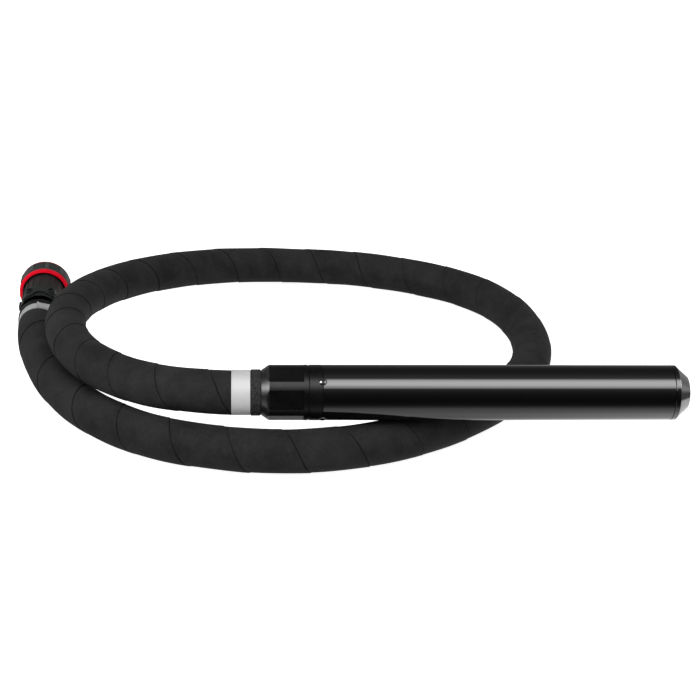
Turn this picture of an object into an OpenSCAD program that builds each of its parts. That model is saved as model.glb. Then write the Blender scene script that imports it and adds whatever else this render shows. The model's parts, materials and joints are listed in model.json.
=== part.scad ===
// Internal-motor concrete vibrator: a steel poker head with an electric motor and an
// eccentric inside it, on a wrapped rubber hose that carries the cable to a twist-lock plug.
// The head's axis is +X, towards the nose, and the origin is the middle of the head.
// The hose lies on the surface z = floor_z and the head rests across it.

/* [Head] */
// Outside diameter of the head
head_d = 57; // [56:0.5:58]
// Half the length of the head, from its middle to the tip of the nose
head_half = 236; // [235:0.5:237]
// Wall thickness of the head tube
tube_wall = 5; // [4.8:0.1:5]
// Distance between opposite flats on the rear cap
cap_flats = 53.2; // [52:0.1:54]

/* [Hose] */
// Outside diameter of the hose
hose_d = 46; // [45:0.5:46.5]
// Bore of the hose
hose_bore = 32; // [31:0.5:34]
// Diameter of the power cable inside the hose
cable_d = 14; // [11:0.5:15]

/* [Plug] */
// Outside diameter of the coupling nut over its ribs
nut_d = 63; // [62:0.5:64]
// Bore of the coupling nut's mouth
nut_bore = 54; // [53.5:0.5:54.5]
// Number of grip ribs on the coupling nut
nut_ribs = 10; // [8:1:18]
// Number of contacts in the plug
contact_count = 6; // [3:1:6]

/* [Motor and eccentric] */
// Diameter of the stator's bore
stator_bore = 28; // [27.8:0.1:28.2]
// Number of winding slots
slot_count = 12; // [6:3:15]
// Radius of the eccentric weight
weight_r = 20; // [18:0.5:21]
// Number of balls in each bearing
ball_count = 8; // [6:1:8]

/* [Hidden] */
$fn = 72;
eps = 0.02;            // overlap of a cutting tool past a face
seat_gap = 0.05;       // radial room of a piece seated in the tube or in a housing
head_r = head_d / 2;
hose_r = hose_d / 2;
bore_r = hose_bore / 2;
cable_r = cable_d / 2;
nut_r = nut_d / 2;
tube_r = head_r - tube_wall;         // bore of the head tube
seat_r = tube_r - seat_gap;          // pieces that sit inside the tube
floor_z = -75;
lie = floor_z + hose_r;               // height of a strand that lies on the surface

// Stations along the head's axis, from the hose band to the nose
band_x0 = -head_half;
band_len = 19;
cuff_x0 = band_x0 + band_len + 0.5;
cap_x0 = -206;
cap_chamfer = 8;
cap_flat_end = -163;
collar_x0 = -158;
tube_x0 = -144;
tube_x1 = 217;
nose_land = 5;
nose_cone = 12.5;
nose_face_r = 17.4;

// Stations of the pieces inside the tube
cap_spigot_x1 = -122;
rear_house_x0 = -118;
rear_bearing_x0 = -110;
rear_house_x1 = -88;
stator_x0 = -64;
stator_x1 = 36;
seal_plate_x0 = 52;
seal_plate_x1 = 60;
weight_x0 = 66;
weight_x1 = 146;
front_house_x0 = 150;
front_bearing_x0 = 160;
front_house_x1 = 184;

// Bearings: [bore radius, outer radius, width, pitch radius, ball radius]
front_bearing = [8.5, 20, 12, 14.25, 3.4];
rear_bearing = [7.5, 17.5, 11, 12.5, 3];
race_gap = 0.1;        // clearance between a ball and its races
shaft_r = 9;
weight_shaft_r = 10;
rotor_r = stator_bore / 2 - 0.3;
key_w = 5;

// Lock screws: four round the seam between the collar and the tube
screw_angles = [for (k = [0:3]) 138 + 90 * k];
screw_head_r = 3.9;
screw_shank_r = 2;

// Stations along the plug's axis, which runs on from the hose, nearly along +Y
plug_x = -467;
plug_z = floor_z + nut_r;
plug_y0 = 283;         // end of the hose, on the plug's rear flange
band_y = 268;
band_width = 14;
screw_y = 318;
screw_apart = 25;      // distance between the two clamp screws
barb_len = 38;
flange_len = 10;
saddle_y = 306;
saddle_len = 23;
grip_y0 = 332;
grip_y1 = 366;
red_y0 = 371.5;
nut_y0 = 377;
nut_y1 = 400;
insert_y0 = 364;
insert_y1 = 386;
plug_r = 25;
nut_step = 5;          // thickness of the nut's inner shoulder
nut_mouth_y0 = 388.5;  // the nut's mouth runs from here to its front rim
shell_front_y = 388;
snap_y0 = 382.5;       // snap ring that holds the nut on the shell
snap_len = 1.8;
snap_groove_r = 23;
front_ring_len = 1.2;

// Route of the hose's centre line, from the rear cap to the plug
route = [
    [-206, 0, 0], [-236, 0, 0], [-280, 8, -1], [-320, 27, -4], [-355, 52, -5],
    [-385, 84, -5], [-407, 122, -5], [-421, 166, -5], [-425, 214, -7], [-418, 265, -11],
    [-400, 314, -16], [-372, 361, -22], [-333, 403, -28], [-287, 437, -34], [-236, 465, -41],
    [-182, 485, -48], [-125, 491, lie], [-68, 481, lie], [-12, 460, lie], [38, 431, lie],
    [79, 391, lie], [105, 343, lie], [117, 290, lie], [118, 236, lie], [107, 182, lie],
    [84, 132, lie], [52, 86, lie], [12, 46, lie], [-35, 12, lie], [-88, -13, lie],
    [-145, -27, lie], [-202, -29, lie], [-258, -19, lie], [-312, 1, lie], [-359, 34, lie],
    [-400, 80, lie], [-429, 130, -51], [-452, 190, -48], [-465, 248, plug_z],
    [plug_x, plug_y0, plug_z]
];
plug_turn = atan2(-2, 35);   // the plug leans as the last stretch of the hose does
cable_in_plug = 69;
cable_route = concat([[-137, 0, 0]], route, [[
    plug_x + cable_in_plug * sin(plug_turn), plug_y0 + cable_in_plug * cos(plug_turn), plug_z
]]);
hose_sides = 12;
cable_sides = 8;

// ---------------------------------------------------------------- helpers

// Lays a shape built along +Z on the head's axis, its base at x
module on_head(x = 0) {
    translate([x, 0, 0]) rotate([0, 90, 0]) children();
}

// Moves a shape to a place [across, station, up] in the plug
module in_plug(place) {
    translate([plug_x, plug_y0, plug_z]) rotate([0, 0, -plug_turn])
        translate([place[0], place[1] - plug_y0, place[2]]) children();
}

// Lays a shape built along +Z on the plug's axis, its base at station y
module on_plug(y = 0) {
    in_plug([0, y, 0]) rotate([-90, 0, 0]) children();
}

// Turns an outline of [radius, height] points
module turned(outline) {
    rotate_extrude() polygon(outline);
}

// A plain ring
module ring(r_out, r_in, len) {
    difference() {
        cylinder(r = r_out, h = len);
        translate([0, 0, -eps]) cylinder(r = r_in, h = len + 2 * eps);
    }
}

// A round rod between two points, run on a little past each so that rods join at a bend
module rod(a, b, r) {
    d = b - a;
    run_on = r / 2;
    turn = atan2(d[1], d[0]);
    tilt = atan2(norm([d[0], d[1]]), d[2]);
    translate(a) rotate([0, tilt, turn]) translate([0, 0, -run_on])
        cylinder(r = r, h = norm(d) + 2 * run_on);
}

// An O-ring that fills a groove of the given depth
module o_ring(r_out, thick) {
    rotate_extrude() translate([r_out - thick / 2, thick / 2]) circle(r = thick / 2);
}

function unit(v) = v / norm(v);

// Direction of travel at point i of a path
function heading(path, i) =
    unit(path[min(i + 1, len(path) - 1)] - path[max(i - 1, 0)]);

// One ring of points round point i of a path
function path_ring(path, i, r, sides) =
    let (
        t = heading(path, i),
        s = unit(cross(t, [0, 0, 1])),
        u = cross(s, t)
    )
    [for (k = [0:sides - 1])
        path[i] + r * (cos(360 * k / sides) * s + sin(360 * k / sides) * u)];

// Side faces between rings a and b of n points, facing outwards
function wall_faces(a, b, n) =
    [for (k = [0:n - 1]) [a + k, a + (k + 1) % n, b + (k + 1) % n, b + k]];

// Solid round cable along a path
module swept_rod(path, r, sides) {
    last = len(path) - 1;
    points = [for (i = [0:last]) each path_ring(path, i, r, sides)];
    sides_out = [for (i = [0:last - 1]) each wall_faces(i * sides, (i + 1) * sides, sides)];
    start = [[for (k = [sides - 1:-1:0]) k]];
    end = [[for (k = [0:sides - 1]) last * sides + k]];
    polyhedron(points, concat(sides_out, start, end), convexity = 10);
}

// Hollow hose along a path; radii holds the outer radius at each point
module swept_tube(path, radii, r_in, sides) {
    last = len(path) - 1;
    count = (last + 1) * sides;
    outer = [for (i = [0:last]) each path_ring(path, i, radii[i], sides)];
    inner = [for (i = [0:last]) each path_ring(path, i, r_in, sides)];
    out_faces = [for (i = [0:last - 1]) each wall_faces(i * sides, (i + 1) * sides, sides)];
    in_faces = [for (f = out_faces) [for (k = [3:-1:0]) f[k] + count]];
    start = wall_faces(count, 0, sides);
    end = wall_faces(last * sides, count + last * sides, sides);
    polyhedron(concat(outer, inner), concat(out_faces, in_faces, start, end),
        convexity = 10);
}

// ---------------------------------------------------------------- head shell

// Spot faces and shank holes for the lock screws
module screw_pockets() {
    for (a = screw_angles) on_head(tube_x0) rotate([0, 0, -a]) rotate([0, 90, 0]) {
        translate([0, 0, head_r - 0.9]) cylinder(r = screw_head_r + 0.1, h = 5);
        translate([0, 0, tube_r]) cylinder(r = screw_shank_r + 0.1, h = tube_wall);
    }
}

module head_tube() {
    edge = 0.5;
    color([0.05, 0.05, 0.06]) difference() {
        on_head() turned([
            [tube_r, tube_x0], [head_r - edge, tube_x0], [head_r, tube_x0 + edge],
            [head_r, tube_x1 - edge], [head_r - edge, tube_x1], [tube_r, tube_x1]
        ]);
        screw_pockets();
    }
}

// Spanner flats across the nose cone; one faces down and to the front
module nose_flats() {
    flat_r = 20;
    for (side = [0, 180]) rotate([140 + side, 0, 0])
        translate([tube_x1 + nose_land + 6, -head_d, flat_r]) cube([30, 2 * head_d, head_r]);
}

module nose_cap() {
    land_x = tube_x1 + nose_land;
    face_x = land_x + nose_cone;
    edge = 0.5;
    dome = head_half - face_x;
    dome_r = (nose_face_r * nose_face_r + dome * dome) / (2 * dome);
    dome_pts = [for (k = [0:8]) let (a = asin(nose_face_r / dome_r) * (1 - k / 8))
        [dome_r * sin(a), head_half - dome_r * (1 - cos(a))]];
    color([0.06, 0.06, 0.07]) difference() {
        on_head() turned(concat([
            [12, front_house_x1], [seat_r, front_house_x1], [seat_r, 203], [seat_r - 2.5, 203],
            [seat_r - 2.5, 206.4], [seat_r, 206.4], [seat_r, tube_x1],
            [head_r - edge, tube_x1], [head_r, tube_x1 + edge], [head_r, land_x]],
            dome_pts, [[0, 205], [12, 205]]));
        nose_flats();
    }
}

module nose_o_ring() {
    color([0.1, 0.1, 0.1]) on_head(203.3) o_ring(seat_r, 2.5);
}

module lock_collar() {
    edge = 0.8;
    color([0.06, 0.06, 0.07]) difference() {
        on_head() turned([
            [tube_r, collar_x0], [head_r - edge, collar_x0], [head_r, collar_x0 + edge],
            [head_r, tube_x0 - edge / 2], [head_r - edge / 2, tube_x0], [tube_r, tube_x0]
        ]);
        screw_pockets();
    }
}

// Hose adapter with six spanner flats, screwed into the tube
module rear_cap() {
    groove = 0.8;
    color([0.06, 0.06, 0.07]) intersection() {
        on_head() turned([
            [12, cap_x0], [hose_r, cap_x0], [head_r, cap_x0 + cap_chamfer],
            [head_r, collar_x0 - groove], [head_r - 0.7, collar_x0 - groove],
            [head_r - 0.7, collar_x0], [seat_r, collar_x0], [seat_r, -134],
            [seat_r - 2.5, -134], [seat_r - 2.5, -130.6], [seat_r, -130.6],
            [seat_r, cap_spigot_x1], [19.5, cap_spigot_x1], [19.5, -138], [13, -138],
            [13, -160], [cable_r + 1, -160], [cable_r + 1, -184], [12, -184]
        ]);
        union() {
            on_head(cap_x0 - 1) rotate([0, 0, -9])
                cylinder(r = cap_flats / 2 / cos(30), h = cap_flat_end - cap_x0 + 1, $fn = 6);
            on_head(cap_flat_end - eps) cylinder(r = head_r + 1, h = 60);
        }
    }
}

module rear_o_ring() {
    color([0.1, 0.1, 0.1]) on_head(-133.7) o_ring(seat_r, 2.5);
}

// Button-head screws that lock the collar to the tube
module lock_screws() {
    crown = 1.8;
    dome_r = (screw_head_r * screw_head_r + crown * crown) / (2 * crown);
    color([0.75, 0.76, 0.78]) for (a = screw_angles)
        on_head(tube_x0) rotate([0, 0, -a]) rotate([0, 90, 0]) difference() {
            union() {
                translate([0, 0, tube_r + 0.6]) cylinder(r = screw_shank_r, h = 4);
                translate([0, 0, head_r - 0.9]) cylinder(r = screw_head_r, h = 1);
                intersection() {
                    translate([0, 0, head_r + 0.1 + crown - dome_r]) sphere(r = dome_r);
                    translate([0, 0, head_r]) cylinder(r = screw_head_r, h = 3);
                }
            }
            translate([0, 0, head_r + 0.2]) cylinder(r = 2.1, h = 3, $fn = 6);
        }
}

// Barbed end outlines for a tail that grips the hose's bore: [radius, height] pairs
function barbs(z0, count, pitch, r_low, r_high) =
    [for (k = [0:count - 1]) each [[r_low, z0 + k * pitch], [r_high, z0 + (k + 0.8) * pitch],
        [r_low, z0 + (k + 0.8) * pitch + 0.2]]];

module hose_nipple() {
    tail = cap_x0 - 30;
    color([0.6, 0.6, 0.62]) on_head() turned(concat(
        [[8.5, tail]], barbs(tail, 4, 7, bore_r - 1.6, bore_r - 0.7),
        [[bore_r - 1.6, cap_x0], [12 - seat_gap, cap_x0], [12 - seat_gap, -184], [8.5, -184]]));
}

// Rubber cuff over the end of the hose, with rounded edges
module hose_cuff() {
    r_in = hose_r - 0.7;
    r_out = hose_r + 0.7;
    round_r = 0.7;
    len = 10;
    arc = [for (k = [0:4]) 22.5 * k];
    color([0.13, 0.13, 0.13]) on_head(cuff_x0) turned(concat(
        [[r_in, 0]],
        [for (a = arc) [r_out - round_r * (1 - sin(a)), round_r * (1 - cos(a))]],
        [for (a = arc) [r_out - round_r * (1 - cos(a)), len - round_r * (1 - sin(a))]],
        [[r_in, len]]));
}

// Crimped band with a low bead along each edge
module crimp_band() {
    bead = 1.4;
    r_out = hose_r;
    color([0.8, 0.8, 0.81]) on_head(band_x0) turned([
        [hose_r - 0.7, 0], [r_out, 0], [r_out + 0.15, 0.3], [r_out + 0.15, bead - 0.3],
        [r_out, bead], [r_out, band_len - bead], [r_out + 0.15, band_len - bead + 0.3],
        [r_out + 0.15, band_len - 0.3], [r_out, band_len], [hose_r - 0.7, band_len]
    ]);
}

// ---------------------------------------------------------------- bearings

module outer_race(b) {
    land = b[3] + b[4] * 0.55;
    difference() {
        ring(b[1] - seat_gap, land, b[2]);
        translate([0, 0, b[2] / 2]) rotate_extrude()
            translate([b[3], 0]) circle(r = b[4] + race_gap);
    }
}

module inner_race(b) {
    land = b[3] - b[4] * 0.55;
    difference() {
        ring(land, b[0] + seat_gap / 2, b[2]);
        translate([0, 0, b[2] / 2]) rotate_extrude()
            translate([b[3], 0]) circle(r = b[4] + race_gap);
    }
}

module balls(b) {
    for (k = [0:ball_count - 1]) rotate([0, 0, 360 * k / ball_count])
        translate([b[3], 0, b[2] / 2]) sphere(r = b[4]);
}

module cage(b) {
    half = b[4] * 0.35;
    width = b[2] - 2;
    difference() {
        translate([0, 0, 1]) ring(b[3] + half, b[3] - half, width);
        for (k = [0:ball_count - 1]) rotate([0, 0, 360 * k / ball_count])
            translate([b[3] - 3, 0, b[2] / 2]) rotate([0, 90, 0])
                cylinder(r = b[4] + 0.08, h = 6);
    }
}

module front_bearing_housing() {
    color([0.55, 0.56, 0.58]) on_head() turned([
        [15, front_house_x0], [seat_r, front_house_x0], [seat_r, front_house_x1],
        [front_bearing[1], front_house_x1], [front_bearing[1], 174.6], [21.2, 174.6],
        [21.2, 172.9], [front_bearing[1], 172.9], [front_bearing[1], front_bearing_x0],
        [15, front_bearing_x0]
    ]);
}

module front_bearing_outer() {
    color([0.7, 0.71, 0.73]) on_head(front_bearing_x0) outer_race(front_bearing);
}

module front_bearing_inner() {
    color([0.72, 0.73, 0.75]) on_head(front_bearing_x0) inner_race(front_bearing);
}

module front_bearing_balls() {
    color([0.85, 0.86, 0.88]) on_head(front_bearing_x0) balls(front_bearing);
}

module front_bearing_cage() {
    color([0.75, 0.6, 0.25]) on_head(front_bearing_x0) cage(front_bearing);
}

// Spring ring, open at the top, in the housing's groove
module front_retaining_ring() {
    color([0.3, 0.3, 0.32]) on_head(173) difference() {
        ring(21.1, 18.2, 1.5);
        translate([-30, -3, -1]) cube([30, 6, 4]);
    }
}

// Dished washer that loads the front bearing
module preload_washer() {
    color([0.6, 0.6, 0.62]) on_head() turned([
        [15.5, 177.9], [15.5, 177.1], [17.6, 174.5], [17.6, 175.3]
    ]);
}

module wire_holes(r_at, r) {
    for (k = [0:2]) rotate([0, 0, 120 * k]) translate([r_at, 0, -60]) cylinder(r = r, h = 120);
}

module rear_bearing_housing() {
    color([0.55, 0.56, 0.58]) difference() {
        on_head() turned([
            [rear_bearing[1], rear_house_x0], [seat_r, rear_house_x0],
            [seat_r, rear_house_x1], [12, rear_house_x1],
            [12, rear_bearing_x0 + rear_bearing[2]],
            [rear_bearing[1], rear_bearing_x0 + rear_bearing[2]]
        ]);
        on_head(-100) wire_holes(20.4, 1.7);
    }
}

module rear_bearing_outer() {
    color([0.7, 0.71, 0.73]) on_head(rear_bearing_x0) outer_race(rear_bearing);
}

module rear_bearing_inner() {
    color([0.72, 0.73, 0.75]) on_head(rear_bearing_x0) inner_race(rear_bearing);
}

module rear_bearing_balls() {
    color([0.85, 0.86, 0.88]) on_head(rear_bearing_x0) balls(rear_bearing);
}

module rear_bearing_cage() {
    color([0.75, 0.6, 0.25]) on_head(rear_bearing_x0) cage(rear_bearing);
}

// ---------------------------------------------------------------- motor

// Outline of one winding slot, grown by g
module slot_outline(g = 0) {
    r0 = stator_bore / 2 + 1.2 - g;
    r1 = 20.5 + g;
    w0 = r0 * sin(95 / slot_count) + g;
    w1 = r1 * sin(95 / slot_count) + g;
    polygon([[r0, -w0], [r1, -w1], [r1, w1], [r0, w0]]);
}

module stator_core() {
    color([0.45, 0.46, 0.48]) on_head(stator_x0) linear_extrude(stator_x1 - stator_x0)
        difference() {
            circle(r = seat_r);
            circle(r = stator_bore / 2);
            for (k = [0:slot_count - 1]) rotate(360 * k / slot_count) slot_outline();
        }
}

// Slot bars and the rounded end turns, as one varnished winding
module stator_windings() {
    r0 = stator_bore / 2 + 1.4;
    r1 = 20.3;
    c = 2;
    color([0.7, 0.36, 0.15]) union() {
        on_head(stator_x0 - 0.5) linear_extrude(stator_x1 - stator_x0 + 1)
            for (k = [0:slot_count - 1]) rotate(360 * k / slot_count) slot_outline(-0.15);
        for (x = [stator_x0 - 12, stator_x1 + 0.2]) on_head(x) turned([
            [r0, c], [r0 + c, 0], [r1 - c, 0], [r1, c],
            [r1, 11.8 - c], [r1 - c, 11.8], [r0 + c, 11.8], [r0, 11.8 - c]
        ]);
    }
}

module rear_spacer() {
    color([0.65, 0.66, 0.68]) on_head(rear_house_x1)
        ring(seat_r, 22.3, stator_x0 - rear_house_x1);
}

module front_spacer() {
    color([0.65, 0.66, 0.68]) on_head(stator_x1) ring(seat_r, 22, seal_plate_x0 - stator_x1);
}

// Bulkhead between the motor and the oil-filled eccentric chamber
module seal_plate() {
    color([0.55, 0.56, 0.58]) on_head() turned([
        [15, seal_plate_x0], [seat_r, seal_plate_x0], [seat_r, seal_plate_x1],
        [12, seal_plate_x1], [12, 59], [15, 59]
    ]);
}

module shaft_seal() {
    color([0.15, 0.1, 0.08]) on_head() turned([
        [11, 53], [14.95, 53], [14.95, 59], [shaft_r + 2, 59], [shaft_r + 0.1, 57.5],
        [shaft_r + 0.1, 56.5], [11, 55]
    ]);
}

// Cut-out button tied to the rear end turns
module thermal_switch() {
    color([0.85, 0.82, 0.7]) translate([-75, -4, 20.35]) cube([9, 8, 1.4]);
}

// Insulated ring where the windings meet the leads
module terminal_ring() {
    color([0.85, 0.8, 0.65]) on_head(-81) difference() {
        ring(22.2, 12, 3);
        wire_holes(20.4, 1.25);
    }
}

// Three leads from the cable's end, through the bearing housing, to the terminal ring
module lead_wires() {
    r = 1.1;
    color([0.55, 0.1, 0.1]) for (k = [0:2]) rotate([120 * k, 0, 0]) {
        rod([-78, 0, -20.4], [-119, 0, -20.4], r);
        rod([-119, 0, -20.4], [-135.5, 0, -3.8], r);
    }
}

module cable_grommet() {
    color([0.1, 0.1, 0.1]) on_head(-160) ring(12.9, cable_r + 0.05, 12);
}

// Hexagon-holed nut that squeezes the grommet onto the cable
module gland_nut() {
    color([0.75, 0.65, 0.35]) on_head(-148) difference() {
        cylinder(r = 12.9, h = 9);
        translate([0, 0, -1]) cylinder(r = cable_r + 0.6, h = 12);
        translate([0, 0, 4]) cylinder(r = 10.5, h = 6, $fn = 6);
    }
}

module rotor_shaft() {
    color([0.6, 0.61, 0.63]) difference() {
        on_head() turned([
            [0, -116], [6, -116], [6.5, -115.5], [6.5, rear_bearing_x0],
            [rear_bearing[0], rear_bearing_x0],
            [rear_bearing[0], rear_bearing_x0 + rear_bearing[2]],
            [shaft_r, rear_bearing_x0 + rear_bearing[2]], [shaft_r, 62],
            [weight_shaft_r, 62], [weight_shaft_r, front_bearing_x0],
            [front_bearing[0], front_bearing_x0], [front_bearing[0], 175.5], [8, 176], [0, 176]
        ]);
        translate([weight_x0 + 5, -key_w / 2, weight_shaft_r - 2.5]) cube([70, key_w, 5]);
    }
}

module rotor_core() {
    color([0.42, 0.43, 0.45]) on_head(stator_x0 + 2) difference() {
        cylinder(r = rotor_r, h = 96);
        translate([0, 0, -1]) cylinder(r = shaft_r + eps, h = 98);
        for (k = [0:15]) rotate([0, 0, 22.5 * k]) translate([12.4, 0, -1])
            cylinder(r = 0.95, h = 98);
    }
}

// Sixteen rotor bars between two end rings
module rotor_cage() {
    color([0.72, 0.73, 0.75]) on_head(stator_x0 + 2) {
        for (k = [0:15]) rotate([0, 0, 22.5 * k]) translate([12.4, 0, -0.5])
            cylinder(r = 0.9, h = 97);
        for (z = [-5, 96]) translate([0, 0, z]) ring(rotor_r - 0.2, 10, 5);
    }
}

module shaft_nut() {
    color([0.5, 0.5, 0.52]) on_head(-115) difference() {
        cylinder(r = 10, h = 5, $fn = 6);
        translate([0, 0, -1]) cylinder(r = 6.55, h = 7);
    }
}

// Half-round weight that hangs below the shaft, on a full hub
module eccentric_weight() {
    len = weight_x1 - weight_x0;
    color([0.35, 0.35, 0.37]) difference() {
        on_head(weight_x0) union() {
            cylinder(r = 13.5, h = len);
            intersection() {
                cylinder(r = weight_r, h = len);
                translate([1, -30, 0]) cube([30, 60, len]);
            }
        }
        on_head(weight_x0 - 1) cylinder(r = weight_shaft_r + seat_gap / 2, h = len + 2);
        translate([weight_x0 - 1, -key_w / 2, 0]) cube([len + 2, key_w, 12.6]);
    }
}

module weight_key() {
    color([0.5, 0.5, 0.52]) translate([weight_x0 + 5.1, -key_w / 2 + 0.05, 7.5])
        cube([69.8, key_w - 0.1, 5]);
}

// ---------------------------------------------------------------- hose

module hose() {
    radii = [for (i = [0:len(route) - 1]) i < 2 ? hose_r - 1.1 : hose_r];
    color([0.14, 0.14, 0.15]) swept_tube(route, radii, bore_r, hose_sides);
}

module power_cable() {
    color([0.1, 0.1, 0.1]) swept_rod(cable_route, cable_r, cable_sides);
}

// ---------------------------------------------------------------- plug

module hose_barb() {
    z0 = -barb_len;
    color([0.6, 0.6, 0.62]) on_plug(plug_y0) turned(concat(
        [[8.5, z0]], barbs(z0, 5, 7, bore_r - 1.6, bore_r - 0.7),
        [[bore_r - 1.6, 0], [13 - seat_gap, 0], [13 - seat_gap, 17], [8.5, 17]]));
}

module band_clamp() {
    color([0.72, 0.72, 0.73]) on_plug(band_y) ring(hose_r + 0.9, hose_r + 0.1, band_width);
}

// Flat lock plate on the band, with two punched dimples and folded ears at one end
module band_buckle() {
    middle = band_y + 5.5;
    width = 11;
    ear = 1.6;
    top = hose_r + 2.4;
    color([0.62, 0.62, 0.63]) on_plug(middle) rotate([0, 0, 13]) difference() {
        union() {
            translate([-7, -top, -width / 2]) cube([17, 1.4, width]);
            for (side = [-1, 1]) translate([-7, -top - 0.5, side * width / 2 - ear / 2])
                cube([ear, 1.9, ear]);
        }
        for (x = [3.5, 6.7]) translate([x, -top - 0.1, 0]) rotate([-90, 0, 0])
            cylinder(r = 1, h = 1);
    }
}

// Two screw places, either side of the plug's axis
module at_clamp_screws(z) {
    for (side = [-1, 1]) in_plug([screw_apart / 2 * side, screw_y, z]) children();
}

module plug_shell() {
    ribs = 18;
    neck_y = plug_y0 + flange_len;
    color([0.09, 0.09, 0.1]) difference() {
        union() {
            on_plug() turned([
                [13, plug_y0], [plug_r - 1, plug_y0], [plug_r, plug_y0 + 1],
                [plug_r, neck_y - 1], [plug_r - 1, neck_y], [plug_r - 5.5, neck_y],
                [plug_r - 5.5, 302.5], [plug_r - 0.5, 302.5], [plug_r, 303], [plug_r, grip_y0],
                [plug_r - 0.6, grip_y0 + 1], [plug_r - 0.6, grip_y1], [plug_r - 0.9, grip_y1],
                [plug_r - 0.9, snap_y0], [snap_groove_r, snap_y0],
                [snap_groove_r, snap_y0 + snap_len], [plug_r - 0.9, snap_y0 + snap_len],
                [plug_r - 0.9, shell_front_y - 0.5], [plug_r - 1.4, shell_front_y],
                [21, shell_front_y], [21, insert_y0], [17, insert_y0],
                [17, 303], [13, 300]
            ]);
            on_plug(grip_y0 + 1) for (k = [0:ribs - 1]) rotate([0, 0, 360 * k / ribs])
                translate([plug_r - 1.5, -1.6, 0]) cube([2, 3.2, grip_y1 - grip_y0 - 3]);
            in_plug([-plug_r - 2.4, 324, -3]) cube([4, 13, 6]);
        }
        at_clamp_screws(0) cylinder(r = 1.6, h = 30);
        in_plug([0, saddle_y - 3, plug_r - 4]) cylinder(r = 9, h = 10);
    }
}

// Clamp bridge over the top of the shell, scalloped between its two bosses
module clamp_saddle() {
    color([0.08, 0.08, 0.09]) difference() {
        union() {
            intersection() {
                on_plug(saddle_y) ring(plug_r + 2.6, plug_r + 0.05, saddle_len);
                in_plug([-20, saddle_y, 12]) cube([40, saddle_len, 40]);
            }
            difference() {
                at_clamp_screws(10) cylinder(r = 6, h = 16.5);
                on_plug(saddle_y - 10) cylinder(r = plug_r + 0.05, h = 50);
            }
        }
        at_clamp_screws(0) cylinder(r = 1.9, h = 40);
        at_clamp_screws(23.6) cylinder(r = 3.6, h = 10);
        in_plug([0, saddle_y - 3, 0]) cylinder(r = 9, h = 40);
    }
}

module clamp_screws() {
    color([0.6, 0.6, 0.62]) difference() {
        at_clamp_screws(0) {
            translate([0, 0, 17]) cylinder(r = 1.55, h = 7);
            translate([0, 0, 23.7]) cylinder(r = 3.2, h = 1.8);
        }
        at_clamp_screws(24.6) cylinder(r = 1.5, h = 3, $fn = 6);
    }
}

module at_contacts() {
    for (k = [0:contact_count - 1]) rotate([0, 0, 360 * k / contact_count + 15])
        translate([12, 0, 0]) children();
}

// Insulating face with one socket hole for each contact
module contact_insert() {
    len = insert_y1 - insert_y0;
    color([0.12, 0.12, 0.13]) on_plug(insert_y0) difference() {
        cylinder(r = 21 - seat_gap, h = len);
        translate([0, 0, -1]) at_contacts() cylinder(r = 2.5, h = len + 2);
        translate([0, 17.5, len - 6]) cylinder(r = 1.8, h = 7);
    }
}

module contacts() {
    color([0.8, 0.65, 0.3]) on_plug(insert_y0 - 6) at_contacts() ring(2.45, 1.6, 26);
}

module plug_o_ring() {
    color([0.1, 0.1, 0.1]) on_plug(379.8) ring(25.4, plug_r - 0.85, 2.2);
}

// Split ring in the shell's groove, in front of the nut's inner shoulder
module nut_snap_ring() {
    color([0.3, 0.3, 0.32]) on_plug(snap_y0 + 0.1) difference() {
        ring(26.6, snap_groove_r + 0.05, snap_len - 0.2);
        translate([-3, 0, -1]) cube([6, 30, 4]);
    }
}

// Twist-lock nut with grip ribs, an inner shoulder behind the snap ring and three
// entry slots in its mouth
module coupling_nut() {
    body_r = nut_r - 0.7;
    mouth_r = nut_bore / 2;
    room_r = mouth_r + 0.4;
    len = nut_y1 - nut_y0;
    mouth_z = nut_mouth_y0 - nut_y0;
    color([0.1, 0.1, 0.11]) on_plug(nut_y0) difference() {
        union() {
            turned([
                [plug_r + 0.6, 0], [body_r - 0.4, 0], [body_r, 0.4], [body_r, len - 1],
                [body_r - 1, len], [mouth_r, len], [mouth_r, mouth_z], [room_r, mouth_z],
                [room_r, nut_step], [plug_r + 0.6, nut_step]
            ]);
            for (k = [0:nut_ribs - 1]) rotate([0, 0, 360 * k / nut_ribs + 25])
                intersection() {
                    translate([body_r - 1.5, -2.2, 1.5]) cube([3, 4.4, len - 3]);
                    cylinder(r = nut_r, h = len);
                }
        }
        for (k = [0:2]) rotate([0, 0, 120 * k + 30]) translate([mouth_r - 1, -2, len - 10])
            cube([2, 4, 11]);
    }
}

// Red ring behind the nut, with a rounded rear edge
module red_ring() {
    r_in = 26.8;
    r_out = 30.4;
    round_r = 2.6;
    arc = [for (k = [0:6]) 15 * k];
    color([0.75, 0.03, 0.06]) on_plug(red_y0) turned(concat(
        [[r_in, 0.4], [r_in + 0.4, 0]],
        [for (a = arc) [r_out - round_r * (1 - sin(a)), round_r * (1 - cos(a))]],
        [[r_out, nut_y0 - red_y0], [r_in, nut_y0 - red_y0]]));
}

// Thin red seal on the nut's front rim
module front_ring() {
    color([0.7, 0.05, 0.08]) on_plug(nut_y1) ring(nut_r - 0.7, 27.8, front_ring_len);
}

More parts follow.
